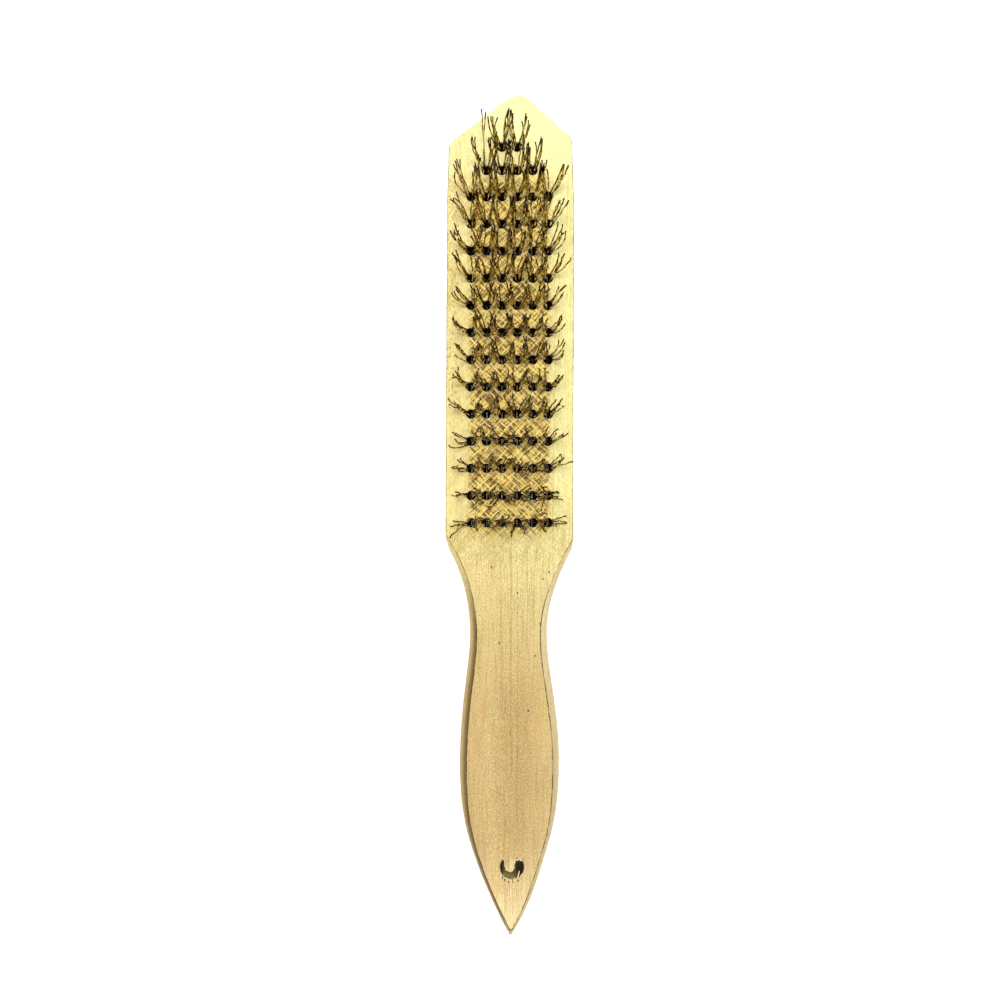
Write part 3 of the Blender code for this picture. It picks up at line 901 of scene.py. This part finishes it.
def lathe(bm, x, y, profile, sides, wobble=0.0, seed=0.0):
    """A closed turned solid from (radius, z) pairs, lowest first."""
    rings = []
    for radius, z in profile:
        ring = []
        for i in range(sides):
            angle = 2 * math.pi * i / sides
            uneven = rough(math.cos(angle) * 3, math.sin(angle) * 3, z, (1.4, 1.4, 3.0), seed)
            grown = radius * (1 + wobble * uneven)
            ring.append(bm.verts.new((x + grown * math.cos(angle), y + grown * math.sin(angle), z)))
        rings.append(ring)
    for lower, upper in zip(rings, rings[1:]):
        for i in range(sides):
            j = (i + 1) % sides
            bm.faces.new((lower[i], lower[j], upper[j], upper[i]))
    bm.faces.new(rings[0][::-1])
    bm.faces.new(rings[-1])


def carve(block, bm, operation):
    """Cuts a solid in millimetres out of the block's mesh, or joins it to the mesh."""
    bmesh.ops.recalc_face_normals(bm, faces=bm.faces)
    bmesh.ops.scale(bm, vec=(MM, MM, MM), verts=bm.verts)
    tool = bpy.data.objects.new("tool", mesh_from(bm, "tool"))
    bpy.context.scene.collection.objects.link(tool)
    step = block.modifiers.new("carved", "BOOLEAN")
    step.operation = operation
    step.solver = "MANIFOLD"
    step.object = tool
    bpy.context.view_layer.update()
    carved = bpy.data.meshes.new_from_object(block.evaluated_get(bpy.context.evaluated_depsgraph_get()))
    block.modifiers.clear()
    block.data = carved
    bpy.data.objects.remove(tool, do_unlink=True)


def drills(roots):
    """The solids that cut the blind tuft holes and the hanging hole."""
    bm = bmesh.new()
    floor = FACE_Z - HOLE_DEPTH
    blind_hole = (
        (0.5, floor - 0.5),
        (HOLE_RADIUS, floor),
        (HOLE_RADIUS, FACE_Z - 0.5),
        (HOLE_RADIUS + 0.12, FACE_Z - 0.22),
        (HOLE_RADIUS + 0.48, FACE_Z + 0.3),
        (HOLE_RADIUS + 0.48, FACE_Z + 2.0),
    )
    for number, (x, y) in enumerate(roots.values()):
        lathe(bm, x, y, blind_hole, 20, wobble=0.05, seed=number * 1.7)
    back = back_height(HANGING_HOLE[0])
    through_hole = (
        (HANGING_HOLE_RADIUS + 0.5, back - 2.0),
        (HANGING_HOLE_RADIUS + 0.35, back - 0.1),
        (HANGING_HOLE_RADIUS, back + 0.5),
        (HANGING_HOLE_RADIUS, FACE_Z - 0.6),
        (HANGING_HOLE_RADIUS + 0.25, FACE_Z - 0.2),
        (HANGING_HOLE_RADIUS + 0.45, FACE_Z + 0.3),
        (HANGING_HOLE_RADIUS + 0.45, FACE_Z + 2.0),
    )
    lathe(bm, *HANGING_HOLE, through_hole, 56, wobble=0.03, seed=4.0)
    return bm


def splits():
    """Thin wedges, longest along the grain, that split and chip the wood from the front."""
    bm = bmesh.new()
    for x, y, length, width, depth in SPLITS:
        rim = [(x - length / 2, y), (x, y - width / 2), (x + length / 2, y), (x, y + width / 2)]
        top = [bm.verts.new((px, py, FACE_Z + 0.25)) for px, py in rim]
        bottom = bm.verts.new((x + 0.1 * length, y, FACE_Z - depth))
        bm.faces.new(top)
        for i in range(len(top)):
            bm.faces.new((top[i - 1], top[i], bottom))
    return bm


def fibre(bm, root, tip, widths, tops, depths):
    """A strip of torn wood from root to tip, given as x and y, that narrows, dips and thins out."""
    rings = []
    for share in (0.0, 0.5, 0.85, 1.0):
        x = root[0] + (tip[0] - root[0]) * share
        y = root[1] + (tip[1] - root[1]) * share
        half = (widths[0] + (widths[1] - widths[0]) * share) / 2
        top = FACE_Z + tops[0] + (tops[1] - tops[0]) * share ** 2
        low = top - depths[0] - (depths[1] - depths[0]) * share
        corners = ((y - half, low), (y + half, low), (y + half, top - 0.05), (y, top), (y - half, top - 0.05))
        rings.append([bm.verts.new((x, cy, cz)) for cy, cz in corners])
    for near, far in zip(rings, rings[1:]):
        for i in range(len(near)):
            bm.faces.new((near[i - 1], near[i], far[i], far[i - 1]))
    bm.faces.new(rings[0])
    bm.faces.new(rings[-1])


def all_fibres():
    """The strips of the flap that the drill left over the hanging hole, and single fibres round its rim."""
    rng = random.Random(SEED)
    ys, ends = np.array(FLAP_END).T
    bm = bmesh.new()
    for y in np.arange(ys[0] + 0.2, ys[-1], FIBRE_PITCH):
        tip_x = float(np.interp(y, ys, ends)) + rng.uniform(-0.2, 0.3)
        tip = (tip_x, float(y) + rng.uniform(-0.08, 0.08))
        tops = (-0.05 - rng.uniform(0.0, 0.08), -0.12 - rng.uniform(0.0, 0.3))
        fibre(bm, (FLAP_ROOT_X, float(y)), tip, (0.56, 0.46), tops, (2.4, 0.6))
    for root_x, root_y, tip_x, tip_y, width in FIBRES:
        fibre(bm, (root_x, root_y), (tip_x, tip_y), (width, 0.3), (-0.1, -0.2), (1.4, 0.45))
    bmesh.ops.recalc_face_normals(bm, faces=bm.faces)
    return mesh_from(bm, "fibres")


def torn_wood():
    """All the torn wood at the hanging hole, fused into closed bodies."""
    fibres = bpy.data.objects.new("fibres", all_fibres())
    bpy.context.scene.collection.objects.link(fibres)
    fused = fibres.modifiers.new("fused", "REMESH")
    fused.mode = "VOXEL"
    fused.voxel_size = FIBRE_VOXEL
    bpy.context.view_layer.update()
    result = bmesh.new()
    result.from_object(fibres, bpy.context.evaluated_depsgraph_get())
    bpy.data.objects.remove(fibres, do_unlink=True)
    return result


def make_block(roots, look):
    """The wooden block: drilled, torn at the hanging hole, split and nicked."""
    block = finished("wooden_block", block_mesh(), [look])
    carve(block, drills(roots), "DIFFERENCE")
    carve(block, torn_wood(), "UNION")
    carve(block, splits(), "DIFFERENCE")
    block.data.shade_smooth()
    block.data.set_sharp_from_angle(angle=math.radians(38))
    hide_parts("handle_block")


# ---- tufts


def tuft_roots():
    """Where each tuft stands, as (row, column) to (x, y), and the CAD node that holds it."""
    roots, nodes = {}, {}
    for name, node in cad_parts.items():
        if not name.startswith("tuft"):
            continue
        row = int(name.split("_row")[1][:2])
        columns = [int(word) for word in name.split("_col")[1].split("_")]
        points = np.array([vert.co for vert in node.data.vertices]) / MM
        foot = points[points[:, 2] < points[:, 2].min() + 0.1]
        order = foot[np.argsort(-foot[:, 1])]
        for column, group in zip(columns, np.array_split(order, len(columns))):
            roots[row, column] = tuple(group[:, :2].mean(axis=0))
            nodes[row, column] = name
    return dict(sorted(roots.items())), nodes


def root_slots(rng):
    """Where the legs of a tuft's wires cross the mouth of its hole on the +Y side of the anchor."""
    chosen = rng.sample(SLOTS, WIRES_PER_TUFT)
    return [tuple(place + rng.uniform(-SLOT_SPREAD, SLOT_SPREAD) for place in slot) for slot in chosen]


def leg(foot, lean, rng, length):
    """The points of one leg, from the fold up to its tip, leaning by lean at the tip."""
    steps = np.linspace(0.0, 1.0, WIRE_STEPS + 1)
    out = 1 - (1 - steps) ** rng.uniform(*LEAN_POWER)
    angle = rng.uniform(0.0, math.pi)
    phase = rng.uniform(0.0, 2 * math.pi)
    pitch = rng.uniform(*CRIMP_PITCH)
    height = rng.uniform(*CRIMP_HEIGHT)
    swell = np.clip(steps * 5, 0.0, 1.0)
    wave = height * swell * np.sin(2 * math.pi * steps * length / pitch + phase)
    bow = rng.uniform(-BOW, BOW) * np.sin(math.pi * steps)
    hook = rng.uniform(-HOOK, HOOK) * steps ** 4
    x = foot[0] + lean[0] * out + wave * math.cos(angle) + (bow + hook) * math.sin(angle)
    y = foot[1] + lean[1] * out + wave * math.sin(angle) - (bow + hook) * math.cos(angle)
    free = np.stack([x, y, FACE_Z + steps * length], axis=1)
    stem = [(*foot, z) for z in np.linspace(FOLD_Z, FACE_Z, BURIED_STEPS + 1)[:-1]]
    return np.vstack([stem, free])


def folded_wire(left, right):
    """One wire's path: down its +Y leg, round the fold and up its -Y leg."""
    start, end = left[0], right[0]
    turn = []
    for share_of_turn in (0.25, 0.5, 0.75):
        angle = math.pi * share_of_turn
        point = start + (end - start) * (1 - math.cos(angle)) / 2
        turn.append((point[0], point[1], FOLD_Z - FOLD_DROP * math.sin(angle)))
    return np.vstack([left[::-1], turn, right])


def tube(path, radius, sides, points, faces, ends):
    """Adds a round tube along a path that never runs along X, with flat ends."""
    tangent = np.gradient(path, axis=0)
    tangent /= np.linalg.norm(tangent, axis=1, keepdims=True)
    first = np.array([1.0, 0.0, 0.0]) - tangent * tangent[:, :1]
    first /= np.linalg.norm(first, axis=1, keepdims=True)
    second = np.cross(tangent, first)
    base = len(points)
    last = base + (len(path) - 1) * sides
    angles = np.linspace(0.0, 2 * math.pi, sides, endpoint=False)
    for centre, one, two in zip(path, first, second):
        points.extend(centre + radius * (math.cos(a) * one + math.sin(a) * two) for a in angles)
    for ring in range(base, last, sides):
        faces += joined_rings(ring, ring + sides, sides)
    ends += [len(faces), len(faces) + 1]
    faces.append(tuple(range(base, base + sides))[::-1])
    faces.append(tuple(range(last, last + sides)))


def kept_in(value, limits):
    low, high = limits
    return max(low, min(high, value))


def lean_of(row, side, y, shared, rng):
    """How far one leg's tip leans along x and y, round what its side of the tuft shares."""
    if side * y > OUTERMOST_Y:
        reach = rng.uniform(*OUTER_REACH[side])
    else:
        reach = kept_in(rng.gauss(INNER_REACH + shared[1], INNER_REACH_SPREAD), INNER_REACH_RANGE)
    lean_x = kept_in(rng.gauss(LEAN_X.get(row, 0.0) + shared[0], LEAN_X_SPREAD), LEAN_X_RANGE)
    return lean_x, side * reach


def tuft_wires(row, column, root, rng):
    """The paths of a tuft's wires."""
    shared = {side: tuple(rng.gauss(0.0, spread) for spread in SHARED_SPREAD) for side in (1, -1)}
    for number, slot in enumerate(root_slots(rng)):
        legs = []
        for side in (1, -1):
            lean = lean_of(row, side, root[1], shared[side], rng)
            strays = STRAYS.get((row, column, side), ())
            if number < len(strays):
                lean = strays[number]
            length = FREE_LENGTH + rng.uniform(*LENGTH_SPREAD)
            foot = (root[0] + slot[0], root[1] + side * slot[1])
            legs.append(leg(foot, lean, rng, length))
        yield folded_wire(*legs)


def make_tuft(row, column, root, node, looks):
    """A tuft: wires folded in half over their anchor, with their cut ends in the second look."""
    rng = random.Random(SEED * 1000 + row * 10 + column)
    points, faces, ends = [], [], []
    for path in tuft_wires(row, column, root, rng):
        tube(path, WIRE_RADIUS, WIRE_SIDES, points, faces, ends)
    mesh = mesh_of("wires", points, faces)
    mesh.shade_smooth()
    for face in ends:
        mesh.polygons[face].material_index = 1
        mesh.polygons[face].use_smooth = False
    tuft = finished(f"wires_r{row:02d}_c{column}", mesh, looks)
    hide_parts(node)


def make_anchor(row, column, root, look):
    """The flat staple in the fold of a tuft, standing in its hole with its edges eased."""
    width, thickness, height = ANCHOR
    bm = bmesh.new()
    middle = Matrix.Translation((root[0], root[1], FOLD_Z + ANCHOR_LIFT + height / 2))
    bmesh.ops.create_cube(bm, size=1.0, matrix=middle @ Matrix.Diagonal((width, thickness, height, 1.0)))
    bmesh.ops.bevel(bm, geom=bm.edges, offset=ANCHOR_EDGE, segments=2, affect="EDGES")
    bmesh.ops.scale(bm, vec=(MM, MM, MM), verts=bm.verts)
    finished(f"anchor_r{row:02d}_c{column}", mesh_from(bm, "anchor"), [look])


# ---- studio


def make_camera():
    """Straight above the brush, with its nose to the top of the picture."""
    data = bpy.data.cameras.new("camera")
    data.lens = CAMERA_LENS
    data.sensor_width = SENSOR_WIDTH
    data.clip_start = CLIP_START_M
    camera = bpy.data.objects.new("camera", data)
    camera.location = [length * MM for length in CAMERA_PLACE]
    camera.rotation_euler = (0.0, 0.0, -math.pi / 2)
    bpy.context.scene.collection.objects.link(camera)
    bpy.context.scene.camera = camera


def make_lamp(name, place, side, power):
    """A square softbox that faces the head of the brush."""
    data = bpy.data.lights.new(name, "AREA")
    data.shape = "SQUARE"
    data.size = side
    data.energy = power
    light = bpy.data.objects.new(name, data)
    light.location = place
    light.rotation_euler = (Vector(LAMPS_FACE) - light.location).to_track_quat("-Z", "Y").to_euler()
    bpy.context.scene.collection.objects.link(light)


def make_world():
    """A white room whose light falls off from its walls to its ceiling."""
    world = bpy.data.worlds.new("studio")
    world.use_nodes = True
    room = world.node_tree
    background = room.nodes["Background"]
    place = room.nodes.new("ShaderNodeTexCoord")
    parts = room.nodes.new("ShaderNodeSeparateXYZ")
    dimmer = room.nodes.new("ShaderNodeMapRange")
    dimmer.interpolation_type = "SMOOTHSTEP"
    for value, socket in zip((HORIZON_TOP, CEILING_START, HORIZON_LIGHT, CEILING_LIGHT), dimmer.inputs[1:5]):
        socket.default_value = value
    room.links.new(place.outputs["Generated"], parts.inputs[0])
    room.links.new(parts.outputs[2], dimmer.inputs["Value"])
    room.links.new(dimmer.outputs[0], background.inputs["Strength"])
    background.inputs["Color"].default_value = (1.0, 1.0, 1.0, 1.0)
    bpy.context.scene.world = world


def make_studio():
    bpy.ops.mesh.primitive_plane_add(size=FLOOR_SIDE_M)
    floor = bpy.context.active_object
    floor.name = "studio_floor"
    floor.data.materials.append(floor_material())
    make_world()
    for name, lamp in LAMPS.items():
        make_lamp(name, *lamp)
    bpy.context.scene.view_settings.view_transform = "Standard"


def build():
    make_camera()
    make_studio()
    roots, nodes = tuft_roots()
    make_block(roots, wood_material())
    wire_looks = [wire_material(), cut_end_material()]
    steel = anchor_material()
    for (row, column), root in roots.items():
        make_tuft(row, column, root, nodes[row, column], wire_looks)
        make_anchor(row, column, root, steel)


build()
